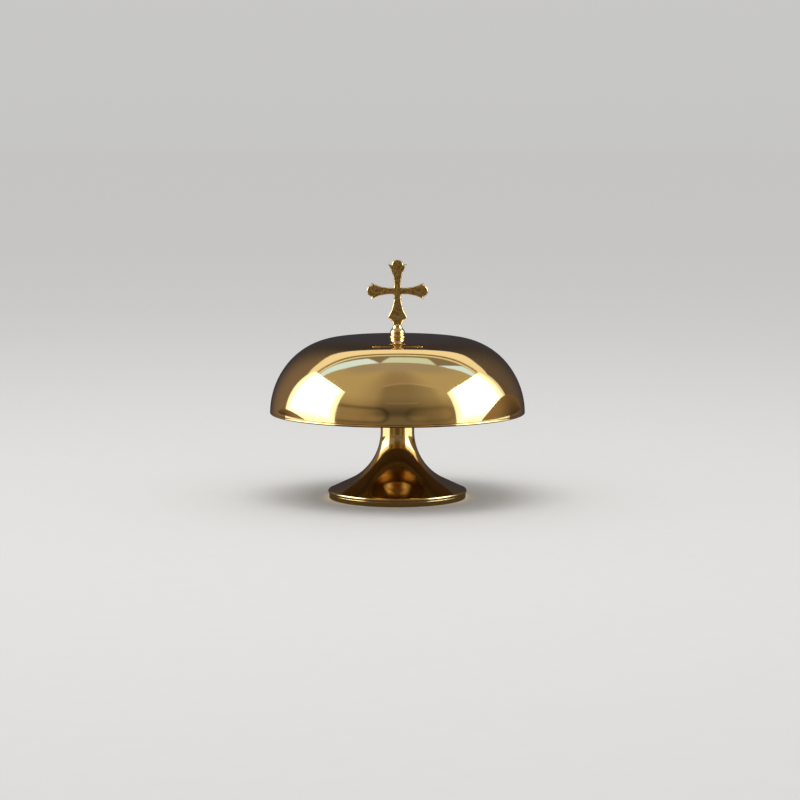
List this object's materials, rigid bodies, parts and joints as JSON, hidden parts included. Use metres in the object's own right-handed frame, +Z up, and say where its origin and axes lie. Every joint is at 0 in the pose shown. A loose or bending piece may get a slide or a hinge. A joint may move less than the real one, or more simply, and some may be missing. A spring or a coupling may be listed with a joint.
{
  "type": "ciborium",
  "caption": "Low covered ciborium on a trumpet foot: a shallow dish under a wide polished domed lid that lifts off, with a plain cross finial.",
  "frame": {"origin": "centre of the foot's underside, on the surface the vessel stands on", "axes": "+Z up along the vessel's axis, the cross's flat faces look along -Y and +Y, its arms lie along X"},
  "size_m": [0.2, 0.2, 0.1873],
  "materials": {
    "polished_gold": "mirror-polished gold plate",
    "satin_gold": "fine satin gold plate, spun rings",
    "turned_brass": "turned brass, lightly gold washed",
    "zinc_steel": "bright zinc plate"
  },
  "bodies": {
    "stand": {"foot": "polished_gold", "foot_ring": "polished_gold", "stem_collar": "turned_brass", "bowl": "satin_gold", "bowl_rim": "polished_gold", "bowl_boss": "turned_brass", "tie_rod": "zinc_steel", "clamp_washer": "zinc_steel", "lock_washer": "zinc_steel", "hex_nut": "zinc_steel"},
    "cover": {"lid": "polished_gold", "lid_bezel": "turned_brass", "finial_collar": "polished_gold", "finial_knob": "polished_gold", "finial_cross": "polished_gold", "finial_stud": "zinc_steel", "finial_washer": "turned_brass", "finial_nut": "turned_brass"}
  },
  "joints": [
    {"name": "lid_lift", "type": "slide", "parent": "stand", "child": "cover", "axis": [0, 0, 1], "range_m": [0, 0.12]}
  ]
}
